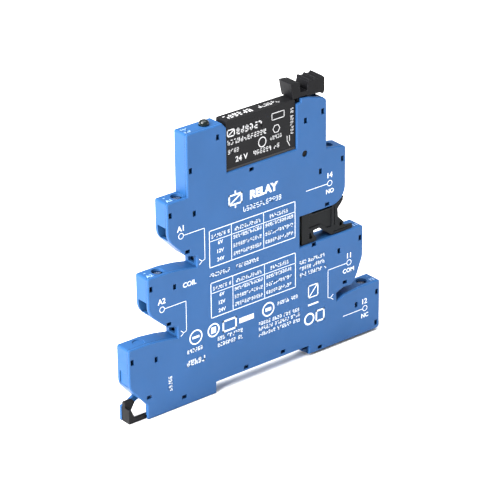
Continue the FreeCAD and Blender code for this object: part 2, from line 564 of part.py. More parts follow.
def make_board_parts():
    """Components that stand on the front of the board."""
    body = new_body("dropper_resistor")
    slab(body, "chip", box_corners("window_left - 9.6", "window_left - 3.2", "74", "77.2", ), "board_front - 0.6",
         "board_front")
    body = new_body("suppressor")
    slab_disc(body, "disc", ("window_left - 6.4", "69.6"), "2.4", "board_front - 1.6", "board_front")
    body = new_body("smoothing_capacitor")
    slab(body, "block", [("window_left - 4.2", "57.4", "0.4"), ("window_left + 1.8", "57.4", "0.4"),
                         ("window_left + 1.8", "63.4", "0.4"), ("window_left - 4.2", "63.4", "0.4")],
         "board_front - 2.6", "board_front")
    group = []
    for number in range(4):
        diode = doc.addObject("PartDesign::Body", f"diode_{number}")
        left = f"window_left + {3.2 + 2.4 * (number % 2)}"
        low = f"{56 + 5.2 * (number // 2)}"
        slab(diode, f"diode_{number}_case", box_corners(left, f"{left} + 1.5", low, f"{low} + 3.6"),
             "board_front - 1.2", "board_front")
        group.append(diode)
    joined = doc.addObject("Part::Compound", "rectifier_diodes")
    joined.Links = group
    joined.Label = "rectifier_diodes"
    nodes.append(joined)


def make_lamp():
    lens = new_body("lamp_lens", x="lamp_x", z="top_lamp")
    turned(lens, "lens", [("0", "-0.6"), ("lens_radius", "-0.6"), ("lens_radius", "0.5"),
                          ("lens_radius - 0.12", "1.0"), ("lens_radius - 0.45", "1.4"),
                          ("lens_radius - 0.95", "1.65"), ("0", "1.75")])
    slab(lens, "flange", box_corners("-2.6", "2.6", "-1.6", "-1.05"), "-1.9", "1.9")
    upright_disc(lens, "neck", ("0", "0"), "lens_radius", "-1.2", "-0.5")
    led = new_body("indicator_led", x="lamp_x", z="top_lamp")
    turned(led, "bulb", [("0", "-5.4"), ("1.5", "-5.4"), ("1.5", "-4.8"), ("1.3", "-4.8"), ("1.3", "-2.6"),
                         ("0.9", "-1.9"), ("0", "-1.65")])
    for x in ("-0.9", "0.5"):
        slab(led, "leg", box_corners(x, f"{x} + 0.4", "-9.4", "-5.3"), "0.55", "board_front")


# ---------------------------------------------------------------- lever, latch, fuse bay plug
def make_retainer_lever():
    body = new_body("retainer_lever")
    hub = "3.0"
    inner_low, inner_high = "-2.0", "2.0"
    slab_disc(body, "hub", ("pivot_x", "pivot_z"), hub, inner_low, inner_high)
    slab(body, "stem", [
        ("pivot_x - 2.2", "pivot_z"), ("pivot_x + 2.6", "pivot_z"), ("pivot_x + 2.1", "pivot_z + 11"),
        ("pivot_x + 2.1", "pivot_z + 20.6"), ("pivot_x - 2.2", "pivot_z + 20.6"),
        ("pivot_x - 2.2", "pivot_z + 13.6"), ("pivot_x + 1.1", "pivot_z + 13.4"),
        ("pivot_x + 1.1", "pivot_z + 9.4"), ("pivot_x - 2.2", "pivot_z + 8.2")], inner_low, inner_high)
    # toe under the relay's end
    slab(body, "toe", [("pivot_x - 6.5", "pivot_z + 1.6"), ("pivot_x - 5.9", "pivot_z + 0.9"),
                       ("pivot_x - 1", "pivot_z - 1.6"), ("pivot_x - 0.5", "pivot_z + 2.2"),
                       ("pivot_x - 6.5", "pivot_z + 2.3")], inner_low, inner_high)
    # claw that reaches over the relay, and the ridged thumb block
    top = "top_lamp + 5.5"
    slab(body, "claw", [("window_right - 1.3", "top_lamp + 0.4"), ("window_right + 1.9", "top_lamp + 0.4"),
                        ("pivot_x + 1.2", "top_lamp + 0.4"), ("pivot_x + 1.2", "top_lamp + 1.8"),
                        ("window_right + 1.6", "top_lamp + 1.8"), ("window_right + 1.3", top, "0.4"),
                        ("window_right - 2.4", "top_lamp + 5.9", "0.3"),
                        ("window_right - 1.9", "top_lamp + 3.2")], "-2.95", "2.95")
    slab(body, "thumb_block", [("pivot_x + 1.2", "top_lamp + 0.1"), ("pivot_x + 7.2", "top_lamp - 0.3"),
                               ("pivot_x + 7.4", "top_lamp - 0.9"), ("pivot_x + 8.0", "top_lamp - 0.7"),
                               ("pivot_x + 8.3", "top_lamp + 0.2"),
                               ("pivot_x + 8.3", "top_lamp + 4.9", "0.5"),
                               ("pivot_x + 1.7", "top_lamp + 4.9", "0.5"),
                               ("pivot_x + 1.2", "top_lamp + 3.2")], "-2.95", "2.95")
    for offset in ("2.0", "4.6", "7.2"):
        slab(body, "ridge", [(f"pivot_x + {offset} - 0.55", "top_lamp + 4.7"),
                             (f"pivot_x + {offset} + 0.55", "top_lamp + 4.7"),
                             (f"pivot_x + {offset} + 0.25", "top_lamp + 5.4"),
                             (f"pivot_x + {offset} - 0.25", "top_lamp + 5.4")], "-2.95", "2.95")
    slab_disc(body, "axle", ("pivot_x", "pivot_z"), "pivot_radius", "-half_width + 0.4", "half_width - 0.4")
    return body


def make_rail_latch():
    body = new_body("rail_latch")
    bar_low, bar_high = "-3.8", "-1.9"
    slab(body, "bar", [("foot_left + 3.0", bar_low), ("notch_left - 0.9", bar_low),
                       ("notch_left - 0.2", "-3.0"), ("notch_left - 0.2", "-2.3"),
                       ("notch_left - 1.7", bar_high), ("foot_left + 3.0", bar_high)], "-1.9", "1.9")
    slab(body, "arm", [("end_left3 + 0.2", bar_low), ("foot_left + 3.5", bar_low), ("foot_left + 3.5", "-2.5"),
                       ("end_left3 + 2.6", "-2.4"), ("end_left3 + 1.5", "0.3"), ("end_left3 + 1.1", "1.2"),
                       ("end_left3 + 0.2", "1.2")], "-1.9", "-0.6")
    slab(body, "tab", [("end_left3 + 0.2", bar_low), ("end_left3 + 2.2", bar_low), ("end_left3 + 1.5", "0.3"),
                       ("end_left3 + 1.1", "1.2"), ("end_left3 + 0.2", "1.2")], "-0.7", "1.6")
    slab(body, "web", [("end_left3 + 0.2", "0.4"), ("end_left3 + 1.9", "0.4"), ("end_left3 + 2.5", "-0.6"),
                       ("end_left3 + 3.4", "0.9"), ("end_left3 + 4.2", "2.3"), ("end_left3 + 3.4", "3.2"),
                       ("end_left3 + 0.2", "3.2")], "0.2", "1.6")
    slab(body, "front_tongue", box_corners("foot_left + 2", "notch_left - 2", "-3.1", "-2.5"), "-2.5", "-1.8")
    slab(body, "back_tongue", box_corners("foot_left + 4", "notch_left - 2", "-3.1", "-2.5"), "1.8", "2.5")
    return body


def make_fuse_bay_plug():
    body = new_body("fuse_bay_plug")
    slab(body, "grip", [
        ("bay_left + 1.3", "top_right2 + 0.15"), ("bay_left + 7.3", "top_right2 + 0.15", "0.5"),
        ("bay_left + 7.4", "top_right2 + 1.2", "0.6"), ("bay_left + 6.2", "top_right2 + 2.8"),
        ("bay_left + 6.3", "top_right2 + 4.1"), ("bay_left + 8.8", "top_right2 + 4.3"),
        ("bay_left + 11.5", "top_right2 + 2.2"), ("bay_left + 14", "top_right2 + 0.3"),
        ("bay_left + 22.9", "top_right2 + 0.3"), ("bay_left + 22.9", "top_right2 + 1.6"),
        ("bay_left + 19.2", "top_right2 + 2"), ("bay_left + 19.1", "top_right2 + 3.6"),
        ("bay_left + 17.9", "top_right2 + 4.9"), ("bay_left + 16.8", "top_right2 + 5.9"),
        ("bay_left + 16.6", "top_right2 + 8.9"),
        ("bay_left + 17.6", "bay_top - 1"), ("bay_left + 18.8", "bay_top + 0.3"),
        ("bay_left + 19", "bay_top + 1.7"), ("bay_left + 18.5", "bay_top + 2.3"),
        ("bay_left + 17.6", "bay_top + 0.8"), ("bay_left + 15.6", "bay_top - 0.15"),
        ("bay_left + 1.3", "bay_top - 0.15")], "-2.5", "2.5")
    for level in ("-3.4", "3.4"):
        middle = f"(top_right2 + bay_top) / 2 + {level}"
        slab(body, "blade_seat", box_corners("bay_left + 1", "bay_left + 4.2", f"{middle} - 0.3",
                                             f"{middle} + 0.3"), "-1.2", "1.2", "Pocket")
    slab(body, "link_seat", box_corners("bay_left + 3.5", "bay_left + 4.2",
                                        "(top_right2 + bay_top) / 2 - 3.7",
                                        "(top_right2 + bay_top) / 2 + 3.7"), "-1.2", "1.2", "Pocket")
    # moulded relief of the near face: sunk panel, column ribs, arm's lip and stepped top edge
    slab(body, "panel", [("bay_left + 4.4", "top_right2 + 5.2"), ("bay_left + 9.2", "top_right2 + 5.4"),
                         ("bay_left + 12", "top_right2 + 3.2"), ("bay_left + 14.1", "top_right2 + 3.2"),
                         ("bay_left + 14.1", "bay_top - 1.2"), ("bay_left + 4.4", "bay_top - 1.2")],
         "-2.6", "-2.15", "Pocket")
    slab(body, "barb", [("bay_left + 4.4", "top_right2 + 1.4"), ("bay_left + 5.9", "top_right2 + 1.4"),
                        ("bay_left + 5.1", "top_right2 + 3.6"), ("bay_left + 4.4", "top_right2 + 3.9")],
         "-2.6", "-1.7", "Pocket")
    slab(body, "top_step", box_corners("bay_left + 5.5", "bay_left + 14.1", "bay_top - 0.8", "bay_top"),
         "-2.6", "-0.9", "Pocket")
    many(body, "column_groove", [
        box_corners("bay_left + 15", "bay_left + 15.5", "top_right2 + 3.4", "bay_top - 0.9"),
        box_corners("bay_left + 14.8", "bay_left + 22.2", "top_right2 + 1", "top_right2 + 1.3")],
         "-2.6", "-2.2", "Pocket")
    slab(body, "tooth_recess", box_corners("bay_left + 17.4", "bay_left + 18.5", "top_right2 + 2.4",
                                           "top_right2 + 3.8"), "-2.6", "-1.4", "Pocket")
    # only a thin lip of the foot passes the clamp screw, so that a screwdriver still reaches it
    slab(body, "driver_relief", box_corners("bay_left + 19.75", "bay_left + 23", "top_right2 + 0.2",
                                            "top_right2 + 2.1"), "-1.85", "2.6", "Pocket")
    link = new_body("bridging_link")
    middle = "(top_right2 + bay_top) / 2"
    slab(link, "link", [("bay_left - 3.2", f"{middle} - 3.7"), ("bay_left + 4.2", f"{middle} - 3.7"),
                        ("bay_left + 4.2", f"{middle} + 3.7"), ("bay_left - 3.2", f"{middle} + 3.7"),
                        ("bay_left - 3.2", f"{middle} + 3.1"), ("bay_left + 3.5", f"{middle} + 3.1"),
                        ("bay_left + 3.5", f"{middle} - 3.1"), ("bay_left - 3.2", f"{middle} - 3.1")],
         "-1.2", "1.2")
    return body


# ---------------------------------------------------------------- the plug-in relay
def relay_body(label):
    """Relay parts are drawn from the lower left corner of the relay."""
    return new_body(label, x="relay_left", z="relay_bottom")


def make_relay_housing():
    case = relay_body("relay_case")
    slab(case, "block", [("0", "base_flange"), ("relay_length", "base_flange"),
                         ("relay_length", "relay_height", "0.5"), ("0", "relay_height", "0.5")],
         "-relay_half_width", "relay_half_width")
    slab(case, "hollow", box_corners("case_wall", "relay_length - case_wall", "base_flange - 0.1",
                                     "relay_height - case_wall"),
         "-relay_half_width + case_wall", "relay_half_width - case_wall", "Pocket")
    base = relay_body("relay_base")
    slab(base, "flange", box_corners("0", "relay_length", "0", "base_flange"),
         "-relay_half_width", "relay_half_width")
    slab(base, "block", box_corners("case_wall + 0.05", "relay_length - case_wall - 0.05",
                                    "base_flange - 0.1", "base_height"),
         "-relay_half_width + case_wall + 0.05", "relay_half_width - case_wall - 0.05")
    for pin in ("pin_coil1", "pin_coil2", "pin_closed", "pin_common", "pin_open"):
        upright_box(base, "slot_" + pin, f"{pin} - pin_thickness / 2", f"{pin} + pin_thickness / 2",
                    "-0.5", "0.5", "-0.1", "base_height + 0.1", "Pocket")


def make_coil():
    bobbin = relay_body("coil_bobbin")
    for x in ("3.8", "16.4"):
        slab(bobbin, "cheek", box_corners(x, f"{x} + 0.6", "core_level - 3.4", "core_level + 3.4"), "-1.9", "1.9")
    slab(bobbin, "tube", box_corners("4.2", "16.6", "core_level - 1.5", "core_level + 1.5"), "-1.1", "1.1")
    slab(bobbin, "core_way", box_corners("3.5", "17.2", "core_level - 1.1", "core_level + 1.1"),
         "-0.75", "0.75", "Pocket")
    winding = relay_body("coil_winding")
    slab(winding, "layers", [("4.45", "core_level - 3.1", "0.3"), ("16.35", "core_level - 3.1", "0.3"),
                             ("16.35", "core_level + 3.1", "0.3"), ("4.45", "core_level + 3.1", "0.3")],
         "-1.8", "1.8")
    slab(winding, "way", box_corners("4", "17", "core_level - 1.5", "core_level + 1.5"), "-1.1", "1.1", "Pocket")
    core = relay_body("iron_core")
    slab(core, "rod", box_corners("3.3", "17.2", "core_level - 1.05", "core_level + 1.05"), "-0.7", "0.7")
    slab(core, "pole_face", box_corners("3.2", "3.7", "core_level - 1.6", "core_level + 1.6"), "-1.3", "1.3")
    yoke = relay_body("yoke")
    slab(yoke, "angle", [("3.1", "3.15"), ("18.1", "3.15"), ("18.1", "core_level + 2.2"),
                         ("17.2", "core_level + 2.2"), ("17.2", "4.0"), ("3.1", "4.0")], "-1.7", "1.7")


def make_armature():
    armature = relay_body("armature")
    slab(armature, "plate", box_corners("1.95", "2.75", "2.75", "13.2"), "-1.6", "1.6")
    spring = relay_body("armature_spring")
    slab(spring, "leaf", [("1.8", "8.4"), ("1.8", "2.35"), ("4.4", "2.35"), ("4.4", "2.5"),
                          ("1.95", "2.5"), ("1.95", "8.4")], "-1.0", "1.0")
    card = relay_body("actuator_card")
    slab(card, "strip", [("2.85", "card_level"), ("19.75", "card_level"), ("19.75", "card_level + 0.8"),
                         ("17.5", "card_level + 0.8"), ("17.5", "card_level + 1.3"),
                         ("2.85", "card_level + 1.3")], "-0.5", "0.5")


def make_contacts():
    """Left fixed contact is closed at rest, the moving spring stands between, the right one is open."""
    common = relay_body("common_terminal")
    slab(common, "pin", box_corners("pin_common - pin_thickness / 2", "pin_common + pin_thickness / 2",
                                    "-pin_length", "base_height + 0.35"), "-0.5", "0.5")
    spring = relay_body("moving_contact_spring")
    slab(spring, "leaf", box_corners("pin_common - 0.1", "pin_common + 0.1", "base_height + 0.4", "15.4"),
         "-1.4", "1.4")
    rivet = relay_body("moving_contact_rivet")
    slab_disc_x(rivet, "left_face", ("0", "14.2"), "0.75", "pin_common - 0.5", "pin_common - 0.1")
    right = relay_body("moving_contact_rivet_open_side")
    slab_disc_x(right, "right_face", ("0", "14.2"), "0.75", "pin_common + 0.1", "pin_common + 0.5")
    closed = relay_body("fixed_contact_closed")
    slab(closed, "pin", [("pin_closed - 0.2", "-pin_length"), ("pin_closed + 0.2", "-pin_length"),
                         ("pin_closed + 0.2", "base_height"), ("18.9", "base_height"), ("18.9", "15.2"),
                         ("18.55", "15.2"), ("18.55", "base_height + 0.4"),
                         ("pin_closed - 0.2", "base_height + 0.4")], "-0.5", "0.5")
    slab(closed, "plate", box_corners("18.55", "18.9", "8", "15.2"), "-1.4", "1.4")
    slab(closed, "card_window", box_corners("18", "19.4", "card_level - 0.4", "card_level + 1.05"),
         "-0.7", "0.7", "Pocket")
    slab_disc_x(closed, "contact", ("0", "14.2"), "0.75", "18.85", "19.37")
    opened = relay_body("fixed_contact_open")
    slab(opened, "pin", [("pin_open + 0.2", "-pin_length"), ("pin_open - 0.2", "-pin_length"),
                         ("pin_open - 0.2", "base_height"), ("21.8", "base_height"), ("21.8", "15.2"),
                         ("22.15", "15.2"), ("22.15", "base_height + 0.4"),
                         ("pin_open + 0.2", "base_height + 0.4")], "-0.5", "0.5")
    slab(opened, "plate", box_corners("21.8", "22.15", "8", "15.2"), "-1.4", "1.4")
    slab_disc_x(opened, "contact", ("0", "14.2"), "0.75", "21.25", "21.85")
    for label, pin in (("coil_pin_a1", "pin_coil1"), ("coil_pin_a2", "pin_coil2")):
        body = relay_body(label)
        slab(body, "pin", box_corners(f"{pin} - 0.2", f"{pin} + 0.2", "-pin_length", "base_height"), "-0.5", "0.5")


# ---------------------------------------------------------------- build, test and write
def build_all():
    make_rear_shell()
    make_side_cover()
    make_terminal_blank()
    for name in TERMINALS:
        make_terminal_screw(name)
        make_clamp_cage(name)
    make_bus_bars()
    for label, pin in (("socket_clip_a1", "pin_coil1"), ("socket_clip_a2", "pin_coil2"),
                       ("socket_clip_12", "pin_closed"), ("socket_clip_11", "pin_common"),
                       ("socket_clip_14", "pin_open")):
        make_socket_clip(label, pin)
    make_fuse_clips()
    make_jumper_forks()
    make_circuit_board()
    make_board_parts()
    make_lamp()
    make_retainer_lever()
    make_rail_latch()
    make_fuse_bay_plug()
    make_relay_housing()
    make_coil()
    make_armature()
    make_contacts()
    doc.recompute()


def check_all():
    """Stop if any object of the document failed or any sub-part has no valid shape."""
    for item in doc.Objects:
        if "Invalid" in item.State or "Error" in item.State:
            raise RuntimeError(f"{item.Label} did not recompute: {item.State}")
    for node in nodes:
        if node.Shape.isNull() or not node.Shape.isValid() or not node.Shape.Solids:
            raise RuntimeError(f"{node.Label} has no valid solid")


def write_all():
    os.makedirs("parts", exist_ok=True)
    for node in nodes:
        node.Shape.exportStep(f"parts/{node.Label}.step")
        print(f"{node.Label}: {node.Shape.Volume:.2f} mm3, {len(node.Shape.Solids)} solid(s)")


build_all()
check_all()
write_all()
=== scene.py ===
"""Looks for a slim plug-in relay in its rail-mounted socket.

The frame gives every solid part. This script gives the parts their materials,
adds the printed marks, and sets up the floor, the lights and the camera.
"""

import math
import random

import bpy
from mathutils import Matrix, Vector


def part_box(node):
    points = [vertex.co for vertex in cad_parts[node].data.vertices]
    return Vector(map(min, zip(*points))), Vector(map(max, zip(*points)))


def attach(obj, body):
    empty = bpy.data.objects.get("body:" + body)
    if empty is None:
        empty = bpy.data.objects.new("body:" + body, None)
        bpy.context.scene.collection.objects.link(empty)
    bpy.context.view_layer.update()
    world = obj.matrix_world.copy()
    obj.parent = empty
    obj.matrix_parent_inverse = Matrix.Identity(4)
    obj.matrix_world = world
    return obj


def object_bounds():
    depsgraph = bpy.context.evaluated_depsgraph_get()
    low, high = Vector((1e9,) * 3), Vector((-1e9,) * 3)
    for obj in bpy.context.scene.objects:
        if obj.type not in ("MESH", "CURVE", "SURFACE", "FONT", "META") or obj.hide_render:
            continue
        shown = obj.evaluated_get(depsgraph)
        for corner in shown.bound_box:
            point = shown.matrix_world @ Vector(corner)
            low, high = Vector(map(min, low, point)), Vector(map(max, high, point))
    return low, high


MM = 0.001
MOTTLE = 0.05           # how far a moulding's colour wanders
MOULDED_EDGE = 0.14     # mm, radius of a moulded edge
METAL_EDGE = 0.08       # mm, radius of a stamped edge
SEAM_HALF = 0.11        # mm, half the width of a parting line
HOLE_REACH = 1.6        # mm, how near walls stand where a hole gets painted shade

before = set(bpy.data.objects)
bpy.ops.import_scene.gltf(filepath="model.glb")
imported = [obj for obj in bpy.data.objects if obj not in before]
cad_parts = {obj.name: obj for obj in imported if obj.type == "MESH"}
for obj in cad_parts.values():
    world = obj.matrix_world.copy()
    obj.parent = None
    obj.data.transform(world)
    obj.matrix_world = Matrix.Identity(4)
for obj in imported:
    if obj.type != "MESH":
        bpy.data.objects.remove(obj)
cad_low, cad_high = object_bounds()


# ---------------------------------------------------------------- materials
def new_material(name):
    material = bpy.data.materials.new(name)
    material.use_nodes = True
    tree = material.node_tree
    return material, tree, tree.nodes["Principled BSDF"]


def add(tree, kind, **values):
    node = tree.nodes.new(kind)
    for key, value in values.items():
        if key in node.inputs:
            node.inputs[key].default_value = value
        else:
            setattr(node, key, value)
    return node


def object_coordinates(tree):
    return add(tree, "ShaderNodeTexCoord").outputs["Object"]


def noise(tree, size_mm, detail=3.0, stretch=(1, 1, 1)):
    """Noise whose features are about size_mm across."""
    mapping = add(tree, "ShaderNodeMapping")
    mapping.inputs["Scale"].default_value = [s / (size_mm * MM) for s in stretch]
    tree.links.new(object_coordinates(tree), mapping.inputs["Vector"])
    node = add(tree, "ShaderNodeTexNoise", Scale=1.0, Detail=detail)
    tree.links.new(mapping.outputs["Vector"], node.inputs["Vector"])
    return node.outputs["Fac"]


def spread(tree, source, low, high):
    """The source's 0.3 to 0.7 turned into low to high."""
    node = add(tree, "ShaderNodeMapRange")
    node.inputs["From Min"].default_value = 0.3
    node.inputs["From Max"].default_value = 0.7
    node.inputs["To Min"].default_value = low
    node.inputs["To Max"].default_value = high
    tree.links.new(source, node.inputs["Value"])
    return node.outputs["Result"]


def blend_colours(tree, amount, first, second):
    node = add(tree, "ShaderNodeMix", data_type="RGBA")
    for socket, value in ((node.inputs[6], first), (node.inputs[7], second)):
        if hasattr(value, "is_linked"):
            tree.links.new(value, socket)
        else:
            socket.default_value = (*value, 1)
    tree.links.new(amount, node.inputs[0])
    return node.outputs[2]


def scaled(colour, factor):
    return tuple(min(1.0, c * factor) for c in colour)


def edge_mask(tree, radius_mm, strength):
    """1 along sharp edges, 0 on flat faces."""
    bevel = add(tree, "ShaderNodeBevel", samples=4, Radius=radius_mm * MM)
    flat = add(tree, "ShaderNodeNewGeometry")
    dot = add(tree, "ShaderNodeVectorMath", operation="DOT_PRODUCT")
    tree.links.new(bevel.outputs["Normal"], dot.inputs[0])
    tree.links.new(flat.outputs["Normal"], dot.inputs[1])
    ramp = add(tree, "ShaderNodeMapRange")
    ramp.inputs["From Min"].default_value = 1.0
    ramp.inputs["From Max"].default_value = 0.85
    ramp.inputs["To Min"].default_value = 0.0
    ramp.inputs["To Max"].default_value = strength
    tree.links.new(dot.outputs["Value"], ramp.inputs["Value"])
    return ramp.outputs["Result"], bevel.outputs["Normal"]


def bump(tree, height, depth_mm, normal=None):
    node = add(tree, "ShaderNodeBump", Distance=depth_mm * MM, Strength=1.0)
    tree.links.new(height, node.inputs["Height"])
    if normal is not None:
        tree.links.new(normal, node.inputs["Normal"])
    return node.outputs["Normal"]


def painted_hole_shade(tree, open_colour, painted_shade_colour, reach_mm):
    """The first colour in the open, painted shade in the second where walls close in."""
    near = add(tree, "ShaderNodeAmbientOcclusion", samples=6,
               Distance=reach_mm * MM)
    ramp = add(tree, "ShaderNodeMapRange")
    ramp.inputs["From Min"].default_value = 0.22
    ramp.inputs["From Max"].default_value = 0.62
    tree.links.new(near.outputs["AO"], ramp.inputs["Value"])
    return blend_colours(tree, ramp.outputs["Result"], painted_shade_colour,
                         open_colour)


def parting_line(tree, height_mm, half_mm):
    """1 within half_mm of the plane where the two half shells meet."""
    split = add(tree, "ShaderNodeSeparateXYZ")
    tree.links.new(object_coordinates(tree), split.inputs["Vector"])
    off = add(tree, "ShaderNodeMath", operation="SUBTRACT")
    off.inputs[1].default_value = height_mm * MM
    tree.links.new(split.outputs["Y"], off.inputs[0])
    size = add(tree, "ShaderNodeMath", operation="ABSOLUTE")
    tree.links.new(off.outputs[0], size.inputs[0])
    ramp = add(tree, "ShaderNodeMapRange")
    ramp.inputs["From Min"].default_value = half_mm * MM
    ramp.inputs["From Max"].default_value = half_mm * MM * 0.4
    tree.links.new(size.outputs[0], ramp.inputs["Value"])
    return ramp.outputs["Result"]


def post_shade_mask(tree, cover_mm):
    """1 on snap posts, which reach into the cover past its inner plane, for painted shade
    there.
    """
    split = add(tree, "ShaderNodeSeparateXYZ")
    tree.links.new(object_coordinates(tree), split.inputs["Vector"])
    ramp = add(tree, "ShaderNodeMapRange")
    ramp.inputs["From Min"].default_value = (cover_mm - 0.1) * MM
    ramp.inputs["From Max"].default_value = (cover_mm - 0.2) * MM
    tree.links.new(split.outputs["Y"], ramp.inputs["Value"])
    return ramp.outputs["Result"]


def plastic(name, colour, roughness, grain_mm=0.5, grain_depth=0.004,
            edge=0.35, edge_highlight_colour=None, painted_shade=None, seam_mm=None, sheen=0.3,
            post_shade_mm=None):
    """Moulded plastic: faint flow mottling, eroded grain, painted edge highlights.

    Narrow holes get painted shade in a dark colour, and so do snap posts past a
    given plane; seam_mm is the height of a dark parting line.
    """
    material, tree, shader = new_material(name)
    mottled = spread(tree, noise(tree, 14, 4), 0, 1)
    body = blend_colours(tree, mottled, scaled(colour, 1 - MOTTLE),
                         scaled(colour, 1 + MOTTLE))
    mask, rounded = edge_mask(tree, MOULDED_EDGE, edge)
    # painted highlight: edges lightened where light would catch them
    edge_highlight = edge_highlight_colour or scaled(colour, 1.6)
    painted = blend_colours(tree, mask, body, edge_highlight)
    if seam_mm is not None:
        painted = blend_colours(tree, parting_line(tree, seam_mm, SEAM_HALF),
                                painted, scaled(colour, 0.35))
    # painted shade: narrow holes darkened towards a dark navy
    if painted_shade is not None:
        painted = painted_hole_shade(tree, painted, painted_shade, HOLE_REACH)
    # painted shade on the snap posts' tips inside the cover's holes
    if post_shade_mm is not None:
        painted = blend_colours(tree, post_shade_mask(tree, post_shade_mm), painted,
                                painted_shade)
    tree.links.new(painted, shader.inputs["Base Color"])
    tree.links.new(spread(tree, noise(tree, 5, 5), roughness - 0.05,
                          roughness + 0.06), shader.inputs["Roughness"])
    tree.links.new(bump(tree, noise(tree, grain_mm, 2), grain_depth, rounded),
                   shader.inputs["Normal"])
    shader.inputs["Specular IOR Level"].default_value = sheen
    return material


def metal(name, colour, roughness, brushed=(1, 1, 1), tarnish=0.12,
          grain_mm=0.3, grain_depth=0.003):
    """Plated or rolled metal: drawn streaks, uneven tarnish, soft edges."""
    material, tree, shader = new_material(name)
    cloudy = spread(tree, noise(tree, 3, 4), 0, 1)
    tree.links.new(blend_colours(tree, cloudy, scaled(colour, 1 - tarnish),
                                 colour), shader.inputs["Base Color"])
    streaks = noise(tree, grain_mm, 3, brushed)
    tree.links.new(spread(tree, streaks, roughness - 0.08, roughness + 0.1),
                   shader.inputs["Roughness"])
    _, rounded = edge_mask(tree, METAL_EDGE, 0.0)
    tree.links.new(bump(tree, streaks, grain_depth, rounded),
                   shader.inputs["Normal"])
    shader.inputs["Metallic"].default_value = 1.0
    return material


def wound_wire(name, colour, wire_mm):
    """Enamelled wire in close turns along X."""
    material, tree, shader = new_material(name)
    turns = add(tree, "ShaderNodeTexWave", wave_type="BANDS",
                bands_direction="X", wave_profile="SIN", Distortion=0.6,
                Scale=2 * math.pi / (20 * wire_mm * MM))
    tree.links.new(object_coordinates(tree), turns.inputs["Vector"])
    # darker between the turns: painted shade in the grooves
    tree.links.new(blend_colours(tree, turns.outputs["Fac"],
                                 scaled(colour, 0.35), colour),
                   shader.inputs["Base Color"])
    tree.links.new(bump(tree, turns.outputs["Fac"], 0.04),
                   shader.inputs["Normal"])
    shader.inputs["Metallic"].default_value = 0.8
    shader.inputs["Roughness"].default_value = 0.28
    shader.inputs["Coat Weight"].default_value = 0.5
    return material


def solder_resist(name, colour):
    """Green board with faint tracks under the lacquer."""
    material, tree, shader = new_material(name)
    tracks = add(tree, "ShaderNodeTexBrick", Scale=220.0)
    tracks.inputs["Mortar Size"].default_value = 0.06
    tree.links.new(object_coordinates(tree), tracks.inputs["Vector"])
    mask = spread(tree, tracks.outputs["Fac"], 0, 0.6)
    mottled = blend_colours(tree, noise(tree, 6, 3), scaled(colour, 0.8),
                            scaled(colour, 1.2))
    tree.links.new(blend_colours(tree, mask, mottled, scaled(colour, 1.7)),
                   shader.inputs["Base Color"])
    tree.links.new(bump(tree, tracks.outputs["Fac"], 0.01),
                   shader.inputs["Normal"])
    shader.inputs["Roughness"].default_value = 0.3
    shader.inputs["Coat Weight"].default_value = 0.4
    return material


def lens(name, colour, roughness, through):
    """Tinted clear plastic with a little flow unevenness."""
    material, tree, shader = new_material(name)
    uneven = noise(tree, 2.5, 2)
    tree.links.new(blend_colours(tree, uneven, scaled(colour, 0.8),
                                 scaled(colour, 1.2)),
                   shader.inputs["Base Color"])
    _, rounded = edge_mask(tree, 0.1, 0.0)
    tree.links.new(bump(tree, uneven, 0.01, rounded), shader.inputs["Normal"])
    shader.inputs["Roughness"].default_value = roughness
    shader.inputs["Transmission Weight"].default_value = through
    shader.inputs["IOR"].default_value = 1.5
    return material


BLUE = (0.0165, 0.082, 0.232)
# dark navy painted as shade in holes and on snap posts
PAINTED_SHADE_NAVY = (0.002, 0.006, 0.030)
PARTING = -2.1      # mm, plane where cover and rear shell meet
# housings: lighter blue painted highlights on edges, painted shade in holes
HOUSING = {"edge": 0.45, "edge_highlight_colour": (0.12, 0.30, 0.72), "painted_shade": PAINTED_SHADE_NAVY,
           "seam_mm": PARTING, "sheen": 0.2}
